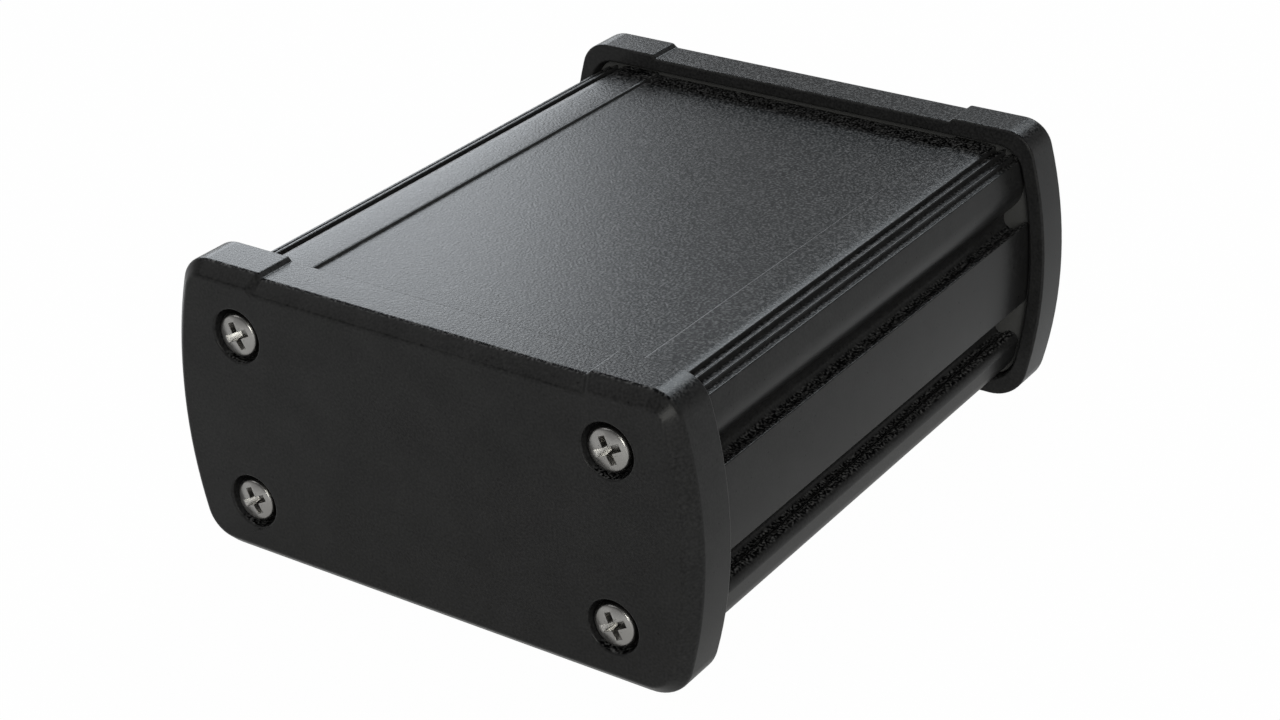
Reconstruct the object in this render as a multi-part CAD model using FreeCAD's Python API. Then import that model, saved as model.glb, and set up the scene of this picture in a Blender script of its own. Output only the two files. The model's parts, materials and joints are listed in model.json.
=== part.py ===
import FreeCAD, Part
import math
import os

# Extruded aluminium enclosure with two screwed end plates.
# Millimetres. X runs across the box, Y along it with the front plate at the low end, Z up.
# The origin is under the middle of the box, on the surface that the end plates stand on.

V = FreeCAD.Vector

# End plates
plate_width = 104.0
plate_height = 52.75
plate_thickness = 10.1
plate_side_radius = 84.0
plate_bulge_height = 26.5
plate_top_corner = 5.8
plate_bottom_corner = 7.4
plate_chamfer = 2.3
pad_rise = 0.75
pad_start = 31.75

# Rim of each end plate round the body, and the pocket that the body's end sits in
rim_side = 3.8
rim_top = 3.45
rim_bottom = 3.65
pocket_clearance = 0.9
pocket_top_corner = 5.0
body_entry = 2.0
gasket_thickness = 1.5
gasket_clearance = 0.3

# Body extrusion
body_between_plates = 106.8
wall = 2.0
body_bottom_corner = 6.0
label_half_width = 32.15
label_depth = 0.5

# Stepped shoulder along each top corner, from the side wall inwards. Drops are below the flat of the top.
tread_width = 1.2
tread_drop = 1.9
outer_ridge_width = 0.65
outer_ridge_drop = 1.0
outer_groove_width = 1.1
outer_groove_drop = 1.45
inner_ridge_width = 0.65
inner_ridge_drop = 0.38
inner_groove_width = 1.28
inner_groove_drop = 1.15
slope_width = 1.6
slope_drop = 0.32

# Upper side channels, with drops below the flat of the top
brow_drop = 5.05
brow_radius = 6.6
upper_floor_drop = 15.55
lip_drop = 13.65
lip_thickness = 0.9
upper_channel_depth = 5.5

# Lower side channels, with rises above the body's underside
lower_mouth_top_rise = 16.5
lower_mouth_bottom_rise = 9.4
lower_floor_rise = 7.1
lower_channel_depth = 6.2
lower_lip_thickness = 2.4
channel_round = 1.8
lower_floor_round = 1.2
lower_lip_round = 1.7

# Screws and the ports that they go into, with their centres' distances from the plate's edges
screw_from_side = 15.5
screw_from_top = 10.7
screw_from_bottom = 11.05
thread_diameter = 4.0
screw_length = 16.0
head_diameter = 8.0
head_height = 3.1
head_crown_drop = 0.25
head_edge_round = 0.8
counterbore_clearance = 0.7
head_below_face = 0.1
hole_clearance = 0.25
port_clearance = 0.05
port_wall = 1.6
port_slot_width = 1.8
thread_point = 0.6

# Cross recess in the screw heads
recess_depth = 2.2
recess_half_span = 2.6
recess_half_width = 0.62
recess_foot_half_span = 1.0
recess_foot_half_width = 0.38
recess_turn = 27.0

# Sealing rings under the screw heads
ring_section = 0.8
ring_width = 0.9
ring_clearance = 0.1

# Guides for circuit boards on the inner side walls, beside the screw ports
guide_to_port = 0.6
board_slot = 1.8
guide_rib = 1.2
guide_reach = 2.6

# Window in the gaskets, clear of the body's walls and the screw holes
window_from_screws = 5.0
window_from_level = 3.6
window_corner = 3.0

# Worked out from the sizes above
half_plate = plate_width / 2
arc_centre_x = half_plate - plate_side_radius
half_body = half_plate - rim_side
upper_back_x = half_body - upper_channel_depth
lower_back_x = half_body - lower_channel_depth
body_side_radius = plate_side_radius - rim_side
body_bottom = rim_bottom
body_top = plate_height - rim_top
brow_start = body_top - brow_drop
upper_floor = body_top - upper_floor_drop
lip_top = body_top - lip_drop
lower_mouth_top = body_bottom + lower_mouth_top_rise
lower_mouth_bottom = body_bottom + lower_mouth_bottom_rise
lower_floor = body_bottom + lower_floor_rise
screw_x = half_plate - screw_from_side
screw_high = plate_height - screw_from_top
screw_low = screw_from_bottom
body_length = body_between_plates + 2 * body_entry
pocket_depth = body_entry + gasket_thickness
plate_inner_y = body_between_plates / 2
plate_outer_y = plate_inner_y + plate_thickness
counterbore_depth = head_height + head_below_face
counterbore_radius = head_diameter / 2 + counterbore_clearance
hole_radius = thread_diameter / 2 + hole_clearance
port_radius = thread_diameter / 2 + port_clearance
boss_radius = port_radius + port_wall
ring_inner_radius = hole_radius + ring_clearance
ring_outer_radius = ring_inner_radius + ring_width
groove_radius = ring_outer_radius + ring_clearance

parts = {}


def point(x, z):
    """A point of a cross-section, with its height above the floor."""
    return V(x, 0, z)


def line(start, end):
    return Part.LineSegment(start, end).toShape()


def arc(start, through, end):
    return Part.Arc(start, through, end).toShape()


def polyline(points):
    return [line(a, b) for a, b in zip(points, points[1:])]


def mirrored(edges):
    """The same edges on the other side of the middle plane, in the opposite order."""
    plane_normal = V(1, 0, 0)
    return [edge.mirror(V(0, 0, 0), plane_normal) for edge in reversed(edges)]


def face_of(edges):
    return Part.Face(Part.Wire(Part.__sortEdges__(edges)))


def side_x(radius, height):
    """Half the width at a height, on a side arc of the given radius."""
    rise = height - plate_bulge_height
    return arc_centre_x + math.sqrt(radius ** 2 - rise ** 2)


def side_point(radius, height):
    return point(side_x(radius, height), height)


def side_arc(radius, low, high):
    return arc(side_point(radius, low), side_point(radius, (low + high) / 2), side_point(radius, high))


def corner(side_radius, level, corner_radius, up):
    """A round corner between a level edge and the side arc.

    Gives its arc, its end on the level edge and its end on the side. up is 1 at the top, -1 at the bottom.
    """
    centre_z = level - up * corner_radius
    rise = centre_z - plate_bulge_height
    reach = side_radius - corner_radius
    centre_x = arc_centre_x + math.sqrt(reach ** 2 - rise ** 2)
    centre = point(centre_x, centre_z)
    on_level = point(centre_x, level)
    outward = V(centre_x - arc_centre_x, 0, rise).normalize()
    on_side = centre + outward * corner_radius
    between = (outward + V(0, 0, up)).normalize()
    return arc(on_level, centre + between * corner_radius, on_side), on_level, on_side


def rounded(before, meeting, after, radius):
    """An arc in the corner where two straight edges meet. Gives the arc and its two ends."""
    back = (before - meeting).normalize()
    on = (after - meeting).normalize()
    half_angle = math.acos(back.dot(on)) / 2
    run = radius / math.tan(half_angle)
    inward = (back + on).normalize()
    start = meeting + back * run
    end = meeting + on * run
    through = meeting + inward * (radius / math.sin(half_angle) - radius)
    return arc(start, through, end), start, end


def plate_edges(inset):
    """The end plate's outline, moved inwards by inset. The middle of its top is lower than its corners."""
    radius = plate_side_radius - inset
    low = inset
    high = plate_height - inset
    pad_top = high + pad_rise
    step_shift = inset * math.tan(math.radians(22.5))
    step_foot = pad_start + step_shift
    bottom_arc, bottom_level, bottom_side = corner(radius, low, plate_bottom_corner - inset, -1)
    top_arc, top_level, top_side = corner(radius, pad_top, plate_top_corner - inset, 1)
    foot = point(step_foot, high)
    brow = point(step_foot + pad_rise, pad_top)
    right = [
        bottom_arc,
        side_arc(radius, bottom_side.z, top_side.z),
        top_arc,
        line(top_level, brow),
        line(brow, foot),
    ]
    level_edges = [
        line(point(-bottom_level.x, low), bottom_level),
        line(foot, point(-step_foot, high)),
    ]
    return right + mirrored(right) + level_edges


def pocket_edges(grow):
    """The body's outline with its side channels filled in, moved outwards by grow."""
    radius = body_side_radius + grow
    low = body_bottom - grow
    high = body_top + grow
    bottom_arc, bottom_level, bottom_side = corner(radius, low, body_bottom_corner + grow, -1)
    top_radius = pocket_top_corner + grow - pocket_clearance
    top_arc, top_level, top_side = corner(radius, high, top_radius, 1)
    right = [bottom_arc, side_arc(radius, bottom_side.z, top_side.z), top_arc]
    level_edges = [
        line(point(-bottom_level.x, low), bottom_level),
        line(top_level, point(-top_level.x, high)),
    ]
    return right + mirrored(right) + level_edges


def shoulder_points():
    """The stepped shoulder, from the side wall's top edge in to the flat of the top."""
    x = side_x(body_side_radius, body_top - tread_drop)
    points = [point(x, body_top - tread_drop)]
    steps = (
        (tread_width, tread_drop, outer_ridge_drop),
        (outer_ridge_width, outer_ridge_drop, outer_groove_drop),
        (outer_groove_width, outer_groove_drop, inner_ridge_drop),
        (inner_ridge_width, inner_ridge_drop, inner_groove_drop),
        (inner_groove_width, inner_groove_drop, slope_drop),
    )
    for width, drop, next_drop in steps:
        x -= width
        points.append(point(x, body_top - drop))
        points.append(point(x, body_top - next_drop))
    points.append(point(x - slope_width, body_top))
    return points


def brow_arc():
    """The round brow over the upper channel, tangent to the side wall and ending on the channel's back wall."""
    start = side_point(body_side_radius, brow_start)
    inward = V(arc_centre_x - start.x, 0, plate_bulge_height - start.z).normalize()
    centre = start + inward * brow_radius
    reach = upper_back_x - centre.x
    end = point(upper_back_x, centre.z - math.sqrt(brow_radius ** 2 - reach ** 2))
    halfway = ((start - centre) + (end - centre)).normalize()
    return arc(start, centre + halfway * brow_radius, end), start, end


def body_outer_face():
    """The body's cross-section as a full shape, with its side channels open."""
    radius = body_side_radius
    bottom_arc, bottom_level, bottom_side = corner(radius, body_bottom, body_bottom_corner, -1)
    shoulder = shoulder_points()
    label_floor = body_top - label_depth

    lip_arc, lip_level, lip_side = corner(radius, lower_mouth_bottom, lower_lip_round, 1)
    lip_inner = point(side_x(radius, lower_mouth_bottom) - lower_lip_thickness, lower_mouth_bottom)
    floor_corner = point(lower_back_x, lower_floor)
    ceiling_corner = point(lower_back_x, lower_mouth_top)
    mouth_top = side_point(radius, lower_mouth_top)
    floor_arc, floor_start, floor_end = rounded(lip_inner, floor_corner, ceiling_corner, lower_floor_round)
    ceiling_arc, ceiling_start, ceiling_end = rounded(floor_corner, ceiling_corner, mouth_top, channel_round)
    lower_channel = [
        lip_arc,
        *polyline([lip_level, lip_inner, floor_start]),
        floor_arc,
        line(floor_end, ceiling_start),
        ceiling_arc,
        line(ceiling_end, mouth_top),
    ]

    brow, brow_top, brow_end = brow_arc()
    lip_x = side_x(radius, lip_top)
    shelf = point(lip_x - lip_thickness, upper_floor)
    back_corner = point(upper_back_x, upper_floor)
    back_arc, back_start, back_end = rounded(shelf, back_corner, brow_end, channel_round)
    upper_channel = [
        *polyline([point(lip_x, lip_top), point(lip_x - lip_thickness, lip_top), shelf, back_start]),
        back_arc,
        line(back_end, brow_end),
    ]
    right = [
        bottom_arc,
        side_arc(radius, bottom_side.z, lip_side.z),
        *lower_channel,
        side_arc(radius, lower_mouth_top, lip_top),
        *upper_channel,
        brow,
        side_arc(radius, brow_top.z, shoulder[0].z),
        *polyline(shoulder + [point(label_half_width, body_top), point(label_half_width, label_floor)]),
    ]
    level_edges = [
        line(point(-bottom_level.x, body_bottom), bottom_level),
        line(point(label_half_width, label_floor), point(-label_half_width, label_floor)),
    ]
    return face_of(right + mirrored(right) + level_edges)


def hollow_face():
    """The inside of the body, one wall in from the outline. The lips and ribs outside don't show inside."""
    low = body_bottom + wall
    high = body_top - wall
    radius = body_side_radius - wall
    lower_x = lower_back_x - wall
    upper_x = upper_back_x - wall
    lower_below = lower_floor - wall
    bulge_low = lower_mouth_top + wall
    bulge_high = upper_floor - wall
    bottom_arc, bottom_level, bottom_side = corner(radius, low, body_bottom_corner - wall, -1)
    right = [
        bottom_arc,
        *polyline([
            bottom_side,
            point(lower_x, lower_below),
            point(lower_x, bulge_low),
            side_point(radius, bulge_low),
        ]),
        side_arc(radius, bulge_low, bulge_high),
        *polyline([
            side_point(radius, bulge_high),
            point(upper_x, bulge_high),
            point(upper_x, high),
        ]),
    ]
    level_edges = [
        line(point(-bottom_level.x, low), bottom_level),
        line(point(upper_x, high), point(-upper_x, high)),
    ]
    return face_of(right + mirrored(right) + level_edges)


def block_face(x_low, x_high, z_low, z_high):
    corners = [point(x_low, z_low), point(x_high, z_low), point(x_high, z_high), point(x_low, z_high)]
    return face_of(polyline(corners + corners[:1]))


def disc_face(radius, x, z):
    circle = Part.Circle(point(x, z), V(0, 1, 0), radius)
    return Part.Face(Part.Wire([circle.toShape()]))


def screw_places():
    """The four screw centres of one end, as (x, z)."""
    return [(side * screw_x, z) for z in (screw_high, screw_low) for side in (-1, 1)]


def round_long_edges(solid, radius):
    """Rounds the edges that run along the box."""
    chosen = []
    for edge in solid.Edges:
        start, end = edge.Vertexes[0].Point, edge.Vertexes[-1].Point
        if abs(start.x - end.x) < 1e-6 and abs(start.z - end.z) < 1e-6:
            chosen.append(edge)
    return solid.makeFillet(radius, chosen)


def along_body(face):
    """A bar as long as the body with the given face as its cross-section."""
    bar = face.extrude(V(0, body_length, 0))
    bar.translate(V(0, -body_length / 2, 0))
    return bar


def screw_port_blocks():
    """The material round the four screw ports, each joined to its side wall over its full height."""
    blocks = []
    for x, z in screw_places():
        web_end = math.copysign(min(upper_back_x, lower_back_x) - wall / 2, x)
        blocks.append(disc_face(boss_radius, x, z))
        blocks.append(block_face(min(x, web_end), max(x, web_end), z - boss_radius, z + boss_radius))
    return blocks


def screw_port_cuts():
    """The screw ports, each open along a slot towards the middle of the box."""
    cuts = []
    for x, z in screw_places():
        slot_end = x - math.copysign(2 * boss_radius, x)
        cuts.append(disc_face(port_radius, x, z))
        cuts.append(block_face(min(x, slot_end), max(x, slot_end), z - port_slot_width / 2, z + port_slot_width / 2))
    return cuts


def guide_ribs():
    """Pairs of ribs on the inner side walls that each hold one edge of a circuit board."""
    ribs = []
    from_port = boss_radius + guide_to_port + guide_rib + board_slot / 2
    for height, back_wall in ((screw_high - from_port, upper_back_x), (screw_low + from_port, lower_back_x)):
        back_x = back_wall - wall
        for side in (-1, 1):
            tip = side * (back_x - guide_reach)
            root = side * (back_x + wall / 2)
            for above in (-1, 1):
                near = height + above * board_slot / 2
                far = near + above * guide_rib
                ribs.append(block_face(min(tip, root), max(tip, root), min(near, far), max(near, far)))
    return ribs


def body_extrusion():
    solid = along_body(body_outer_face()).cut(along_body(hollow_face()))
    solid = solid.fuse([along_body(face) for face in screw_port_blocks() + guide_ribs()])
    return solid.cut([along_body(face) for face in screw_port_cuts()]).removeSplitter()


def cylinder(radius, length, x, y, z):
    """A cylinder along the box that starts at y."""
    return Part.makeCylinder(radius, length, V(x, y, z), V(0, 1, 0))


def at_front(section, y):
    face = section.copy()
    face.translate(V(0, y, 0))
    return face


def end_plate():
    """The front end plate. Its outer face looks towards low Y."""
    outer_y = -plate_outer_y
    chamfer_y = outer_y + plate_chamfer
    inner_y = -plate_inner_y
    full = face_of(plate_edges(0))
    slab = at_front(full, chamfer_y).extrude(V(0, inner_y - chamfer_y, 0))
    foot = Part.Wire(Part.__sortEdges__(plate_edges(0)))
    foot.translate(V(0, chamfer_y, 0))
    brow = Part.Wire(Part.__sortEdges__(plate_edges(plate_chamfer)))
    brow.translate(V(0, outer_y, 0))
    bevelled = Part.makeLoft([brow, foot], True, True)
    solid = slab.fuse(bevelled).removeSplitter()

    pocket = at_front(face_of(pocket_edges(pocket_clearance)), inner_y - pocket_depth)
    solid = solid.cut(pocket.extrude(V(0, pocket_depth, 0)))
    for x, z in screw_places():
        floor_y = outer_y + counterbore_depth
        head_hole = cylinder(counterbore_radius, counterbore_depth, x, outer_y, z)
        ring_hole = cylinder(groove_radius, ring_section, x, floor_y, z)
        shank_hole = cylinder(hole_radius, plate_thickness, x, outer_y, z)
        solid = solid.cut([head_hole, ring_hole, shank_hole])
    return solid


def gasket():
    """The front gasket, flat on the floor of the plate's pocket and pressed by the body's end."""
    start_y = -(plate_inner_y + pocket_depth)
    outer = face_of(pocket_edges(pocket_clearance - gasket_clearance))
    side = screw_x - window_from_screws
    low = body_bottom + window_from_level
    high = body_top - window_from_level
    window = block_face(-side, side, low, high)
    sheet = at_front(outer, start_y).extrude(V(0, gasket_thickness, 0))
    opening = at_front(window, start_y).extrude(V(0, gasket_thickness, 0))
    opening = round_long_edges(opening, window_corner)
    holes = [cylinder(hole_radius, gasket_thickness, x, start_y, z) for x, z in screw_places()]
    return sheet.cut([opening] + holes)


def cross_wire(half_span, half_width, y):
    """The outline of a cross with four equal arms."""
    a, b = half_span, half_width
    quarter = [(b, a), (b, b), (a, b)]
    corners = []
    for turn in range(4):
        angle = -math.radians(90 * turn)
        for x, z in quarter:
            corners.append(V(
                x * math.cos(angle) - z * math.sin(angle),
                y,
                x * math.sin(angle) + z * math.cos(angle),
            ))
    return Part.Wire([line(p, q) for p, q in zip(corners, corners[1:] + corners[:1])])


def screw():
    """A pan head screw along Y at the origin, with the underside of its head at y = 0 and its head at low Y."""
    radius = head_diameter / 2
    shank = thread_diameter / 2
    crown_end_x = radius - head_edge_round
    crown_end_y = head_crown_drop - head_height
    crown_radius = (crown_end_x ** 2 + head_crown_drop ** 2) / (2 * head_crown_drop)
    halfway = math.asin(crown_end_x / crown_radius) / 2
    crown_middle = V(
        crown_radius * math.sin(halfway),
        crown_radius * (1 - math.cos(halfway)) - head_height,
        0,
    )
    side_y = crown_end_y + head_edge_round
    lean = head_edge_round * math.sqrt(0.5)
    profile = [
        arc(V(0, -head_height, 0), crown_middle, V(crown_end_x, crown_end_y, 0)),
        arc(V(crown_end_x, crown_end_y, 0), V(crown_end_x + lean, side_y - lean, 0), V(radius, side_y, 0)),
        *polyline([
            V(radius, side_y, 0),
            V(radius, 0, 0),
            V(shank, 0, 0),
            V(shank, screw_length - thread_point, 0),
            V(shank - thread_point, screw_length, 0),
            V(0, screw_length, 0),
            V(0, -head_height, 0),
        ]),
    ]
    turned = Part.Face(Part.Wire(profile)).revolve(V(0, 0, 0), V(0, 1, 0), 360)
    solid = Part.makeSolid(turned) if turned.ShapeType == "Shell" else turned
    mouth = cross_wire(recess_half_span, recess_half_width, -head_height)
    foot = cross_wire(recess_foot_half_span, recess_foot_half_width, recess_depth - head_height)
    recess = Part.makeLoft([mouth, foot], True, True)
    solid = solid.cut(recess)
    solid.rotate(V(0, 0, 0), V(0, 1, 0), -recess_turn)
    return solid


def seal_ring():
    """A sealing ring at the origin, pressed flat, with the side under the screw head at y = 0."""
    outer = cylinder(ring_outer_radius, ring_section, 0, 0, 0)
    return outer.cut(cylinder(ring_inner_radius, ring_section, 0, 0, 0))


def rear_copy(solid):
    """The same piece at the other end of the box, turned about the upright axis."""
    turned = solid.copy()
    turned.rotate(V(0, 0, 0), V(0, 0, 1), 180)
    return turned


def placed(solid, x, y, z):
    moved = solid.copy()
    moved.translate(V(x, y, z))
    return moved


parts["body_extrusion"] = body_extrusion()
parts["front_end_plate"] = end_plate()
parts["front_gasket"] = gasket()
place_names = ("top_left", "top_right", "bottom_left", "bottom_right")
head_seat_y = -plate_outer_y + counterbore_depth
for name, (x, z) in zip(place_names, screw_places()):
    parts["front_screw_" + name] = placed(screw(), x, head_seat_y, z)
    parts["front_seal_ring_" + name] = placed(seal_ring(), x, head_seat_y, z)
for name, solid in list(parts.items()):
    if name.startswith("front_"):
        parts[name.replace("front_", "rear_", 1)] = rear_copy(solid)

os.makedirs("parts", exist_ok=True)
for name, shape in parts.items():
    shape.exportStep("parts/" + name + ".step")
    print(name, "valid" if shape.isValid() else "BROKEN", len(shape.Solids), round(shape.Volume, 1))
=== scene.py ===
import json
import math

import bpy
from mathutils import Euler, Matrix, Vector

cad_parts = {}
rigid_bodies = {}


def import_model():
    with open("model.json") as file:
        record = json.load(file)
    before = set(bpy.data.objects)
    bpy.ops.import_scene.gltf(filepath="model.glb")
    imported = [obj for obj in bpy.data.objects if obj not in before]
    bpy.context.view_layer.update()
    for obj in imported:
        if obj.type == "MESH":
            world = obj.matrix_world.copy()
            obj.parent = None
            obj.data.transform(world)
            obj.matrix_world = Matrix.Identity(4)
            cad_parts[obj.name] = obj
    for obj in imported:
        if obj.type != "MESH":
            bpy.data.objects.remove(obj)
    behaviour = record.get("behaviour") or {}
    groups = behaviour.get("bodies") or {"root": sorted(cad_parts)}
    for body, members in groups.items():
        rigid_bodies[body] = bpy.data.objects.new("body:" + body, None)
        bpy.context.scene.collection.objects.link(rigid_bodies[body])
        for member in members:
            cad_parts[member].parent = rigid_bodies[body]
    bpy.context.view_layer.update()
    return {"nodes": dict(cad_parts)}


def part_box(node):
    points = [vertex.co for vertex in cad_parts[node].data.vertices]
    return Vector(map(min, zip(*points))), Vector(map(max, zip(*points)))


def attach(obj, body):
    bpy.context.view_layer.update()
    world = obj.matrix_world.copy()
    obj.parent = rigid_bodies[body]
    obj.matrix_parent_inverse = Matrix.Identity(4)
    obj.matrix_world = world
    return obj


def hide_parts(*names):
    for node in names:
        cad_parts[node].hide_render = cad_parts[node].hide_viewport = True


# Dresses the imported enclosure: soft edges, finishes, studio and camera.
# Lengths are in metres, angles in degrees and lamps in watts, where nothing else is said.

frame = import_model()
nodes = frame["nodes"]

# Camera, in the part's frame, with its sensor and lens in millimetres
CAMERA_PLACE = (0.22643, -0.33096, 0.22668)
CAMERA_PITCH = 62.669
CAMERA_ROLL = -1.535
CAMERA_TURN = 34.445
SENSOR_WIDTH = 36.0
LENS = 71.449
NEAREST_SEEN = 0.01

# Widths of the rounds on edges that the real finishing breaks, and the number of faces in each round
LONG_EDGE_ROUND = 0.0002
LABEL_EDGE_ROUND = 0.00048
PLATE_EDGE_ROUND = 0.00045
PAD_STEP_ROUND = 0.00012
RECESS_EDGE_ROUND = 0.0001
RUBBER_EDGE_ROUND = 0.0002
LARGE_PART_STEPS = 3
SMALL_PART_STEPS = 2

# Where the label recess's edges are: near its half width, and near the top, as a share of the height
LABEL_EDGE_BAND = 0.0001
LABEL_LEVEL = 0.99

# Where the steps of the plates' raised pads are, and how much deeper than wide their edges are
PAD_STEP_PLACE = 0.0326
PAD_STEP_REACH = 0.0014
PAD_STEP_DEEP = 0.0035
PAD_STEP_SLOPE = 4

# Reach of a screw's seat round its middle, and the share of a plate's depth that holds its outer edges
SCREW_SEAT_REACH = 0.0062
OUTER_SHARE = 0.3

# Depth of a screw's crown, below which its edges stay sharp
CROWN_DEEP = 0.0004

# Limits for merging a mesh and finding its edges
TOUCH = 1e-6
SECTION_TOUCH = 5e-6
FLAT = math.radians(0.3)
SECTION_FLAT = math.radians(1.0)
SHARP = math.radians(20)
CORNER = math.radians(25)
SMOOTH = math.radians(32)
FLAT_FACE_WEIGHT = 50
FILL_SCALE = 1000

# Black anodising: the darkest and lightest colour, and the shares of the light one that a plain surface,
# the clouds and the speckle give. On walls the speckle is grain; the much stronger speckle on level
# surfaces that look up is painted sheen sparkle.
ANODISED_DARK = (0.0005, 0.0005, 0.0006)
ANODISED_LIGHT = (0.05, 0.05, 0.051)
ANODISED_GLOSS = 0.145
ANODISED_ROUGHNESS = 0.26
ANODISED_ROUGHNESS_SPREAD = 0.1
ANODISED_RELIEF = 0.000025
BODY_SHADE = 0.108
PLATE_SHADE = 0.094
CLOUD_SHADE = 0.1
WALL_SPECK = 0.2
# Extra colour speckle on level surfaces that look up: painted sheen sparkle, not a different finish
PAINTED_SHEEN_SPECK = 2.4
WALL_RELIEF = 0.1
LEVEL_RELIEF = 0.9
LINE_RELIEF = 0.1
MIDDLE_OF_NOISE = 0.5

# Upward parts of the normal at which a surface starts and ends to count as level
WALL_END = 0.75
LEVEL_START = 0.96

# Scales of the patterns, in repeats per metre
GRAIN_SCALE = 2300
BODY_CLOUD_SCALE = 240
PLATE_CLOUD_SCALE = 180
LINE_SCALE = (5200, 60, 5200)
RUBBER_SCALE = 2500
NICKEL_SCALE = 2600
RING_SCALE = 9000

# Rubber: colours of the gaskets and of the sealing rings, roughness and relief
GASKET_DARK = (0.02, 0.02, 0.02)
GASKET_LIGHT = (0.035, 0.035, 0.035)
RING_DARK = (0.010, 0.010, 0.010)
RING_LIGHT = (0.02, 0.02, 0.02)
RUBBER_GLOSS = 0.3
RUBBER_ROUGHNESS = 0.62
RUBBER_ROUGHNESS_SPREAD = 0.2
RUBBER_STRENGTH = 0.3
RUBBER_RELIEF = 0.00003

# Nickel: colours, roughness, the relief of the turning rings and the grain, and the crown's fall, which is
# this many times the square of the distance from the screw's middle
NICKEL_DARK = (0.30, 0.295, 0.285)
NICKEL_LIGHT = (0.42, 0.41, 0.395)
NICKEL_ROUGHNESS = 0.22
RING_ROUGHNESS = 0.1
GRAIN_ROUGHNESS = 0.06
RING_RELIEF = 0.0000015
NICKEL_RELIEF = 0.000001
CROWN_BULGE = 60

# Studio: what the lamps aim at, the floor, and how bright the floor and the backdrop are
AIM = (0, 0, 0.05)
COOL = (0.9, 0.95, 1.0)
COOLER = (0.88, 0.95, 1.0)
WARM = (1.0, 1.0, 0.94)
NEUTRAL = (1.0, 1.0, 1.0)
WHITE = (1, 1, 1, 1)
FLOOR_SIZE = 8
FLOOR_DROP = 0.0002
FLOOR_PAINT = (0.4, 0.4, 0.4, 1)
SEEN_WHITE = 0.985
MIRRORED_WHITE = 0.37
SKY_LIGHT = 0.25
BACKDROP_RISE = 0.6
BACKDROP_FALL = 2.5
BACKDROP_TOP = 0.12


# Helpers for modelling

def only(piece):
    """Leaves just this piece selected and active."""
    bpy.ops.object.select_all(action="DESELECT")
    piece.select_set(True)
    bpy.context.view_layer.objects.active = piece


def edit(piece, kind="VERT"):
    """Opens a piece in edit mode with nothing selected."""
    only(piece)
    bpy.ops.object.mode_set(mode="EDIT")
    bpy.ops.mesh.select_mode(type=kind)
    bpy.ops.mesh.select_all(action="DESELECT")


def done():
    bpy.ops.object.mode_set(mode="OBJECT")


def whole():
    """Selects the whole mesh that is being edited."""
    bpy.ops.mesh.select_all(action="SELECT")


def choose(piece, group, test):
    """Selects the vertices or edges of a piece that pass the test. Starts and ends in edit mode."""
    done()
    for item in getattr(piece.data, group):
        item.select = test(item)
    bpy.ops.object.mode_set(mode="EDIT")


def places(piece):
    """The vertices' places, kept apart from the mesh, which moves in memory when the mode changes."""
    return [vertex.co.copy() for vertex in piece.data.vertices]


def middle_of(node):
    """The middle of a CAD node's box, as x, y and z."""
    low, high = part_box(node)
    return [(start + end) / 2 for start, end in zip(low, high)]


def copy_of(node, name):
    """A copy of a CAD node's mesh to work on, with its loose triangles merged into whole faces."""
    piece = bpy.data.objects.new(name, nodes[node].data.copy())
    bpy.context.scene.collection.objects.link(piece)
    piece.data.materials.clear()
    edit(piece)
    whole()
    bpy.ops.mesh.remove_doubles(threshold=TOUCH)
    bpy.ops.mesh.customdata_custom_splitnormals_clear()
    bpy.ops.mesh.dissolve_limited(angle_limit=FLAT)
    done()
    return piece


def faces_by_edge(piece):
    """The faces at each edge, found by the edge's pair of vertices."""
    faces_of = {}
    for face in piece.data.polygons:
        for key in face.edge_keys:
            faces_of.setdefault(key, []).append(face)
    return faces_of


def sharp_edges(piece):
    """The numbers of the edges where two faces meet at a sharp angle, or the mesh is open."""
    faces_of = faces_by_edge(piece)
    found = set()
    for edge in piece.data.edges:
        faces = faces_of.get(edge.key, [])
        if len(faces) != 2 or faces[0].normal.angle(faces[1].normal, 0) > SHARP:
            found.add(edge.index)
    return found


def standing_edges(piece, room):
    """The outermost outline's corners that stand out, between faces that both have room for a round."""
    points = places(piece)
    widest = max(range(len(points)), key=lambda i: points[i].x)
    edit(piece)
    choose(piece, "vertices", lambda vertex: vertex.index == widest)
    bpy.ops.mesh.select_linked()
    done()
    faces_of = faces_by_edge(piece)
    found = set()
    for edge in piece.data.edges:
        faces = faces_of.get(edge.key, [])
        if not edge.select or len(faces) != 2:
            continue
        first, second = faces
        stands_out = (second.center - first.center).dot(first.normal) < 0
        length = (points[edge.vertices[0]] - points[edge.vertices[1]]).length
        width = min(first.area, second.area) / length
        if stands_out and first.normal.angle(second.normal, 0) > CORNER and width > room:
            found.add(edge.index)
    return found


def soften(piece, steps, rounds, edges=None):
    """Rounds edges, or else the sharp ones. Each of rounds is a width and a test of an edge's two ends."""
    found = sharp_edges(piece) if edges is None else edges
    points = places(piece)
    widest = max(width for width, test in rounds)

    def meant(edge, test):
        return edge.index in found and test(*(points[i] for i in edge.vertices))

    edit(piece, "EDGE")
    for width, test in rounds:
        choose(piece, "edges", lambda edge: meant(edge, test))
        bpy.ops.transform.edge_bevelweight(value=width / widest)
    done()
    bpy.ops.object.modifier_add(type="BEVEL")
    rounder = piece.modifiers[-1]
    rounder.limit_method = "WEIGHT"
    rounder.width = widest
    rounder.segments = steps
    rounder.use_clamp_overlap = False
    bpy.ops.object.modifier_apply(modifier=rounder.name)


def smooth(piece):
    """Smooths the rounds only: the large flat faces keep their own direction up to the edge."""
    only(piece)
    bpy.ops.object.shade_smooth_by_angle(angle=SMOOTH)
    bpy.ops.object.modifier_add(type="WEIGHTED_NORMAL")
    flattener = piece.modifiers[-1]
    flattener.mode = "FACE_AREA"
    flattener.weight = FLAT_FACE_WEIGHT
    flattener.keep_sharp = True
    bpy.ops.object.modifier_apply(modifier=flattener.name)


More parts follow.
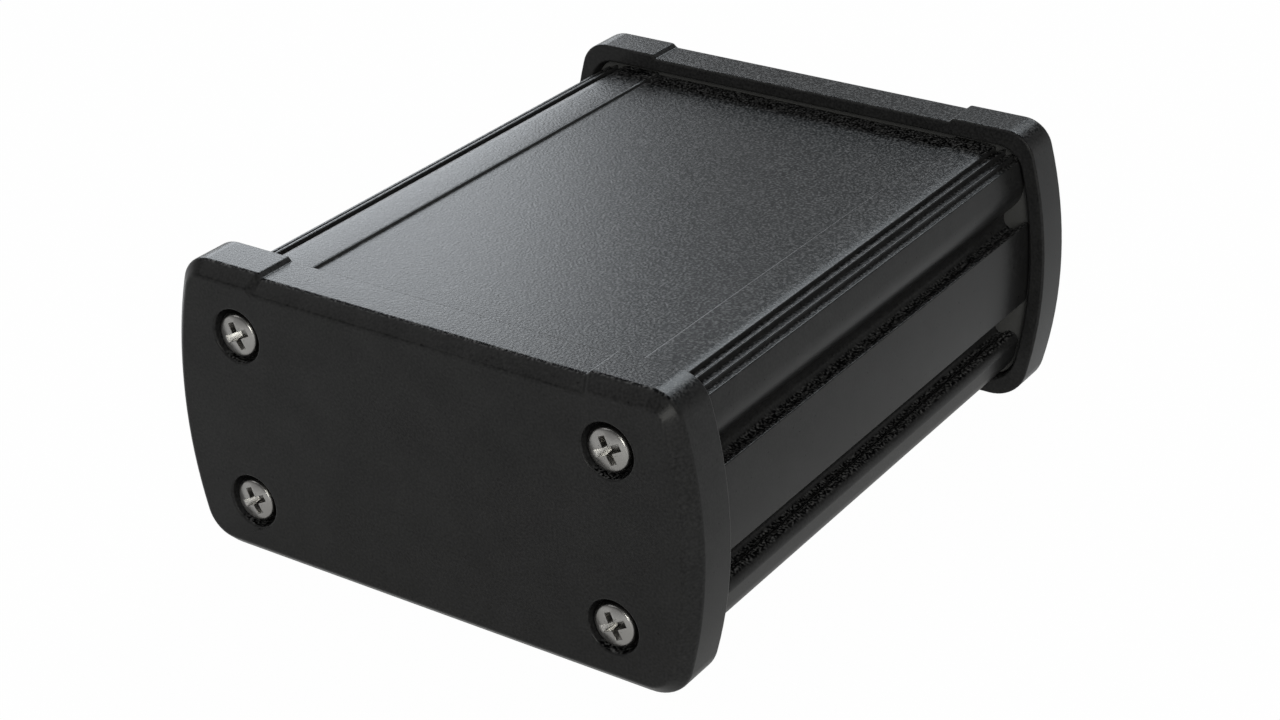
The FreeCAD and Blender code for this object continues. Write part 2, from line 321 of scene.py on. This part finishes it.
def finish_piece(piece, node, finish):
    """Puts a piece in the place of its CAD node."""
    smooth(piece)
    piece.data.materials.clear()
    piece.data.materials.append(finish)
    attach(piece, "root")
    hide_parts(node)


# Shader maths

class Socket:
    """An output of a shader node that takes the usual signs, each as a Math node."""

    def __init__(self, tree, link):
        self.tree = tree
        self.link = link

    def maths(self, operation, first, second):
        return self.tree.node("ShaderNodeMath", {"operation": operation}, {0: first, 1: second})

    def __add__(self, other):
        return self.maths("ADD", self, other)

    def __radd__(self, other):
        return self.maths("ADD", other, self)

    def __sub__(self, other):
        return self.maths("SUBTRACT", self, other)

    def __rsub__(self, other):
        return self.maths("SUBTRACT", other, self)

    def __mul__(self, other):
        return self.maths("MULTIPLY", self, other)

    def __rmul__(self, other):
        return self.maths("MULTIPLY", other, self)

    def __pow__(self, other):
        return self.maths("POWER", self, other)

    def largest(self, other):
        return self.maths("MAXIMUM", self, other)

    def size(self):
        return self.maths("ABSOLUTE", self, 0.0)


class Tree:
    """A node tree that builds a material or the world."""

    def __init__(self, owner):
        owner.use_nodes = True
        self.nodes = owner.node_tree.nodes
        self.links = owner.node_tree.links
        self.nodes.clear()

    def raw(self, kind, settings=None, inputs=None):
        """Any node: its settings are set first, then its sockets' values or links."""
        node = self.nodes.new(kind)
        for name, value in (settings or {}).items():
            setattr(node, name, value)
        for name, value in (inputs or {}).items():
            if isinstance(value, Socket):
                self.links.new(value.link, node.inputs[name])
            else:
                node.inputs[name].default_value = value
        return node

    def node(self, kind, settings=None, inputs=None, output=0):
        return Socket(self, self.raw(kind, settings, inputs).outputs[output])

    def place(self):
        return self.node("ShaderNodeTexCoord", output="Object")

    def stretched(self, scale):
        inputs = {"Vector": self.place(), "Scale": scale}
        return self.node("ShaderNodeMapping", {"vector_type": "POINT"}, inputs)

    def noise(self, scale, detail=2.0, roughness=0.5, place=None):
        inputs = {"Vector": place or self.place(), "Scale": scale, "Detail": detail, "Roughness": roughness}
        return self.node("ShaderNodeTexNoise", {"noise_dimensions": "3D"}, inputs, "Fac")

    def part_of(self, vector, axis):
        return self.node("ShaderNodeSeparateXYZ", None, {"Vector": vector}, axis)

    def ramp(self, value, start, end, low=0.0, high=1.0):
        """A value's way from start to end, turned into a way from low to high."""
        limits = {"From Min": start, "From Max": end, "To Min": low, "To Max": high}
        return self.node("ShaderNodeMapRange", {"clamp": True}, {"Value": value, **limits})

    def facing_up(self):
        """From 0 on a wall to 1 on a level surface that looks up."""
        upward = self.part_of(self.node("ShaderNodeNewGeometry", output="Normal"), "Z")
        return self.ramp(upward, WALL_END, LEVEL_START)

    def blend(self, share, first, second):
        """A mix of two colours."""
        settings = {"data_type": "RGBA", "clamp_factor": True}
        inputs = {"Factor": share, 6: (*first, 1), 7: (*second, 1)}
        return self.node("ShaderNodeMix", settings, inputs, output=2)

    def bump(self, height, strength, distance):
        inputs = {"Height": height, "Strength": strength, "Distance": distance}
        return self.node("ShaderNodeBump", None, inputs)

    def surface(self, fixed, changing):
        """Ends the tree with a Principled shader."""
        shader = self.node("ShaderNodeBsdfPrincipled", None, {**fixed, **changing})
        self.raw("ShaderNodeOutputMaterial", None, {"Surface": shader})

    def mixed(self, share, first, second, output):
        """Ends the tree with two shaders, where share says how much of the second one shows."""
        mix = self.node("ShaderNodeMixShader", None, {0: share, 1: first, 2: second})
        self.raw(output, None, {"Surface": mix})

    def rays(self, *kinds):
        outputs = self.raw("ShaderNodeLightPath").outputs
        return [Socket(self, outputs[kind]) for kind in kinds]


def material(name):
    made = bpy.data.materials.new(name)
    return made, Tree(made)


# Finishes

def anodised(name, shade, cloud_scale, drawn):
    """Black anodised aluminium: matt on walls with a fine grain, and a painted sheen speckle in the colour
    where it looks up.

    A drawn piece also has faint lines along its sides.
    """
    made, tree = material(name)
    grain = tree.noise(GRAIN_SCALE, detail=0.0)
    clouds = tree.noise(cloud_scale)
    up = tree.facing_up()
    # Grain in the colour; where the surface looks up it is made much stronger, as painted sheen sparkle
    speck_and_sheen = (grain - MIDDLE_OF_NOISE) * (WALL_SPECK + up * PAINTED_SHEEN_SPECK)
    share = speck_and_sheen + shade + clouds * CLOUD_SHADE
    height = grain * (WALL_RELIEF + up * LEVEL_RELIEF)
    if drawn:
        height += tree.noise(1.0, detail=3.0, roughness=0.6, place=tree.stretched(LINE_SCALE)) * LINE_RELIEF
    tree.surface(
        {"Metallic": 0.0, "Specular IOR Level": ANODISED_GLOSS},
        {
            "Base Color": tree.blend(share, ANODISED_DARK, ANODISED_LIGHT),
            "Roughness": ANODISED_ROUGHNESS + grain * ANODISED_ROUGHNESS_SPREAD,
            "Normal": tree.bump(height, 1.0, ANODISED_RELIEF),
        },
    )
    return made


def rubber(name, dark, light):
    """Matt black rubber with a fine grain."""
    made, tree = material(name)
    grain = tree.noise(RUBBER_SCALE, detail=3.0, roughness=0.6)
    tree.surface(
        {"Metallic": 0.0, "Specular IOR Level": RUBBER_GLOSS},
        {
            "Base Color": tree.blend(grain, dark, light),
            "Roughness": RUBBER_ROUGHNESS + grain * RUBBER_ROUGHNESS_SPREAD,
            "Normal": tree.bump(grain, RUBBER_STRENGTH, RUBBER_RELIEF),
        },
    )
    return made


def nickel():
    """Satin nickel plate with fine turning rings round each screw's centre."""
    made, tree = material("satin_nickel")
    across, _, level_high = middle_of("front_screw_top_right")
    level_low = middle_of("front_screw_bottom_right")[2]
    middle = (level_high + level_low) / 2
    place = tree.place()
    x = tree.part_of(place, "X").size() - across
    z = (tree.part_of(place, "Z") - middle).size() - (level_high - middle)
    square = x * x + z * z
    outwards = tree.node("ShaderNodeCombineXYZ", None, {"X": square ** 0.5 * RING_SCALE})
    rings = tree.noise(1.0, place=outwards)
    grain = tree.noise(NICKEL_SCALE)
    height = rings * RING_RELIEF + grain * NICKEL_RELIEF - square * CROWN_BULGE
    tree.surface(
        {"Metallic": 1.0},
        {
            "Base Color": tree.blend(rings, NICKEL_DARK, NICKEL_LIGHT),
            "Roughness": NICKEL_ROUGHNESS + rings * RING_ROUGHNESS + grain * GRAIN_ROUGHNESS,
            "Normal": tree.bump(height, 1.0, 1.0),
        },
    )
    return made


# Pieces

def resize(factor):
    """Scales the whole mesh about the origin, because filling an outline needs sizes above a millimetre."""
    whole()
    bpy.ops.transform.resize(value=(factor, factor, factor), center_override=(0, 0, 0))


def face_outwards():
    whole()
    bpy.ops.mesh.normals_make_consistent(inside=False)


def fill_end(piece, end):
    """Closes the open end of an enlarged tube, at its enlarged place along the body."""
    done()
    at_end = [abs(point.y - end * FILL_SCALE) < FILL_SCALE * TOUCH for point in places(piece)]
    edit(piece, "EDGE")
    choose(piece, "edges", lambda edge: all(at_end[i] for i in edge.vertices))
    bpy.ops.mesh.fill(use_beauty=False)


def label_half_width(piece):
    """Half the width of the recess in the top, from the two steps nearest to the middle of the top face."""
    high = max(point.z for point in places(piece))
    return min(abs(point.x) for point in places(piece) if high - point.z < TOUCH)


def dress_body(finish):
    """The body again from its own cross-section, with every long edge slightly broken."""
    low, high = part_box("body_extrusion")
    piece = copy_of("body_extrusion", "dressed_body")
    edit(piece)
    whole()
    bpy.ops.mesh.bisect(plane_co=(0, 0, 0), plane_no=(0, 1, 0), clear_inner=True, clear_outer=True)
    whole()
    bpy.ops.mesh.remove_doubles(threshold=SECTION_TOUCH)
    bpy.ops.mesh.dissolve_limited(angle_limit=SECTION_FLAT)
    whole()
    bpy.ops.transform.translate(value=(0, low.y, 0))
    bpy.ops.mesh.extrude_edges_move(TRANSFORM_OT_translate={"value": (0, high.y - low.y, 0)})
    face_outwards()
    done()
    corners = standing_edges(piece, 2 * LONG_EDGE_ROUND)
    label_edge = label_half_width(piece)

    def at_label(start, finish):
        return abs(abs(start.x) - label_edge) < LABEL_EDGE_BAND and start.z > LABEL_LEVEL * high.z

    def elsewhere(start, finish):
        return not at_label(start, finish)

    rounds = [(LABEL_EDGE_ROUND, at_label), (LONG_EDGE_ROUND, elsewhere)]
    soften(piece, LARGE_PART_STEPS, rounds, corners)
    edit(piece)
    resize(FILL_SCALE)
    fill_end(piece, low.y)
    fill_end(piece, high.y)
    resize(1 / FILL_SCALE)
    face_outwards()
    done()
    finish_piece(piece, "body_extrusion", finish)


def dress_plate(end, finish):
    """An end plate with its outline's edges and its pads' steps slightly rounded."""
    node = end + "_end_plate"
    low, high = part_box(node)
    outer_y, inner_y = (low.y, high.y) if end == "front" else (high.y, low.y)
    depth = abs(outer_y - inner_y)
    piece = copy_of(node, "dressed_" + node)
    screws = [middle_of(end + "_screw_" + place) for place in ("top_right", "bottom_right")]

    def near_screw(point):
        return any(math.hypot(abs(point.x) - x, point.z - z) < SCREW_SEAT_REACH for x, y, z in screws)

    def outside(point):
        behind = abs(point.y - outer_y)
        if near_screw(point):
            return behind < TOUCH
        return behind < OUTER_SHARE * depth or abs(point.y - inner_y) < TOUCH

    def on_pad_step(start, finish):
        """Along the depth of the plate, at the foot or the brow of a raised pad."""
        middle = (start + finish) / 2
        along = abs(start.y - finish.y) > PAD_STEP_SLOPE * abs(start.x - finish.x)
        beside = abs(abs(middle.x) - PAD_STEP_PLACE) < PAD_STEP_REACH
        return along and beside and middle.z > high.z - PAD_STEP_DEEP

    def on_outline(start, finish):
        return outside(start) and outside(finish) and not on_pad_step(start, finish)

    soften(piece, LARGE_PART_STEPS, [(PLATE_EDGE_ROUND, on_outline), (PAD_STEP_ROUND, on_pad_step)])
    finish_piece(piece, node, finish)


def dress_screw(node, finish):
    """A screw with the edges of its cross recess slightly rounded, as stamping leaves them."""
    low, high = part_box(node)
    crown_y = low.y if node.startswith("front") else high.y
    piece = copy_of(node, "dressed_" + node)

    def near_crown(start, finish):
        return max(abs(start.y - crown_y), abs(finish.y - crown_y)) < CROWN_DEEP

    soften(piece, SMALL_PART_STEPS, [(RECESS_EDGE_ROUND, near_crown)])
    finish_piece(piece, node, finish)


def dress_rubber(node, finish):
    """A gasket or sealing ring with all its edges rounded."""
    piece = copy_of(node, "dressed_" + node)
    soften(piece, SMALL_PART_STEPS, [(RUBBER_EDGE_ROUND, lambda start, finish: True)])
    finish_piece(piece, node, finish)


black_body = anodised("black_anodised_extrusion", BODY_SHADE, BODY_CLOUD_SCALE, drawn=True)
black_plate = anodised("black_anodised_plate", PLATE_SHADE, PLATE_CLOUD_SCALE, drawn=False)
gasket_rubber = rubber("gasket_rubber", GASKET_DARK, GASKET_LIGHT)
ring_rubber = rubber("ring_rubber", RING_DARK, RING_LIGHT)
satin_nickel = nickel()

dress_body(black_body)
for end in ("front", "rear"):
    dress_plate(end, black_plate)
    dress_rubber(end + "_gasket", gasket_rubber)
    for place in ("top_left", "top_right", "bottom_left", "bottom_right"):
        dress_screw(end + "_screw_" + place, satin_nickel)
        dress_rubber(end + "_seal_ring_" + place, ring_rubber)


# Studio

def lamp(name, place, width, height, power, colour, mirrored=True):
    """A softbox that aims at the enclosure. The enclosure doesn't mirror it where mirrored is False."""
    light = bpy.data.lights.new(name, "AREA")
    light.shape = "RECTANGLE"
    light.size = width
    light.size_y = height
    light.energy = power
    light.color = colour
    holder = bpy.data.objects.new(name, light)
    holder.location = place
    holder.visible_glossy = mirrored
    holder.rotation_euler = (Vector(AIM) - Vector(place)).to_track_quat("-Z", "Y").to_euler()
    bpy.context.scene.collection.objects.link(holder)


def floor():
    """A pale floor: the camera sees it nearly white, and it keeps the object's shadow."""
    bpy.ops.object.select_all(action="DESELECT")
    bpy.ops.mesh.primitive_plane_add(size=FLOOR_SIZE, location=(0, 0, 0))
    ground = bpy.context.active_object
    ground.name = "floor"
    ground.location.z = -FLOOR_DROP
    made, tree = material("pale_floor")
    seen, mirrored, through = tree.rays("Is Camera Ray", "Is Glossy Ray", "Is Transmission Ray")
    share = (seen.largest(through) * SEEN_WHITE).largest(mirrored * MIRRORED_WHITE)
    paint = tree.node("ShaderNodeBsdfDiffuse", None, {"Color": FLOOR_PAINT})
    glow = tree.node("ShaderNodeEmission", None, {"Color": WHITE, "Strength": 1.0})
    tree.mixed(share, paint, glow, "ShaderNodeOutputMaterial")
    ground.data.materials.append(made)


def sky():
    """A backdrop that is white at the horizon and dimmer higher up, seen by the camera and in gloss."""
    world = bpy.context.scene.world or bpy.data.worlds.new("studio")
    bpy.context.scene.world = world
    tree = Tree(world)
    seen, mirrored, through = tree.rays("Is Camera Ray", "Is Glossy Ray", "Is Transmission Ray")
    height = tree.part_of(tree.node("ShaderNodeTexCoord", output="Generated"), "Z")
    low = tree.ramp(height, 0.0, BACKDROP_RISE, 1.0, 0.0)
    brightness = low ** BACKDROP_FALL * (1 - BACKDROP_TOP) + BACKDROP_TOP
    dim = tree.node("ShaderNodeBackground", None, {"Color": WHITE, "Strength": SKY_LIGHT})
    backdrop = tree.node("ShaderNodeBackground", None, {"Color": WHITE, "Strength": brightness})
    tree.mixed(seen.largest(mirrored).largest(through), dim, backdrop, "ShaderNodeOutputWorld")


def camera():
    view = bpy.data.cameras.new("camera")
    view.sensor_fit = "HORIZONTAL"
    view.sensor_width = SENSOR_WIDTH
    view.lens = LENS
    view.clip_start = NEAREST_SEEN
    holder = bpy.data.objects.new("camera", view)
    holder.location = CAMERA_PLACE
    turn = Euler((math.radians(CAMERA_PITCH), 0, math.radians(CAMERA_TURN)), "XYZ").to_matrix()
    roll = Euler((0, 0, math.radians(CAMERA_ROLL)), "XYZ").to_matrix()
    holder.rotation_euler = (turn @ roll).to_euler()
    bpy.context.scene.collection.objects.link(holder)
    bpy.context.scene.camera = holder


# The front right softbox lights the walls, and the strip in front of it makes the bright spots.
lamp("back_left_softbox", (-0.994, 0.834, 0.574), 0.6, 0.56, 6.9, COOL)
lamp("back_softbox", (-0.14, 0.91, 0.98), 0.66, 0.46, 10, COOLER)
lamp("front_right_softbox", (0.82, -0.97, 0.64), 0.6, 0.9, 25, WARM, mirrored=False)
lamp("front_right_strip", (0.80, -0.95, 0.62), 0.16, 0.5, 3.3, WARM)
lamp("left_top_softbox", (-0.75, -0.27, 1.07), 0.8, 0.8, 2.2, NEUTRAL)
floor()
sky()
camera()
bpy.context.scene.view_settings.view_transform = "Standard"
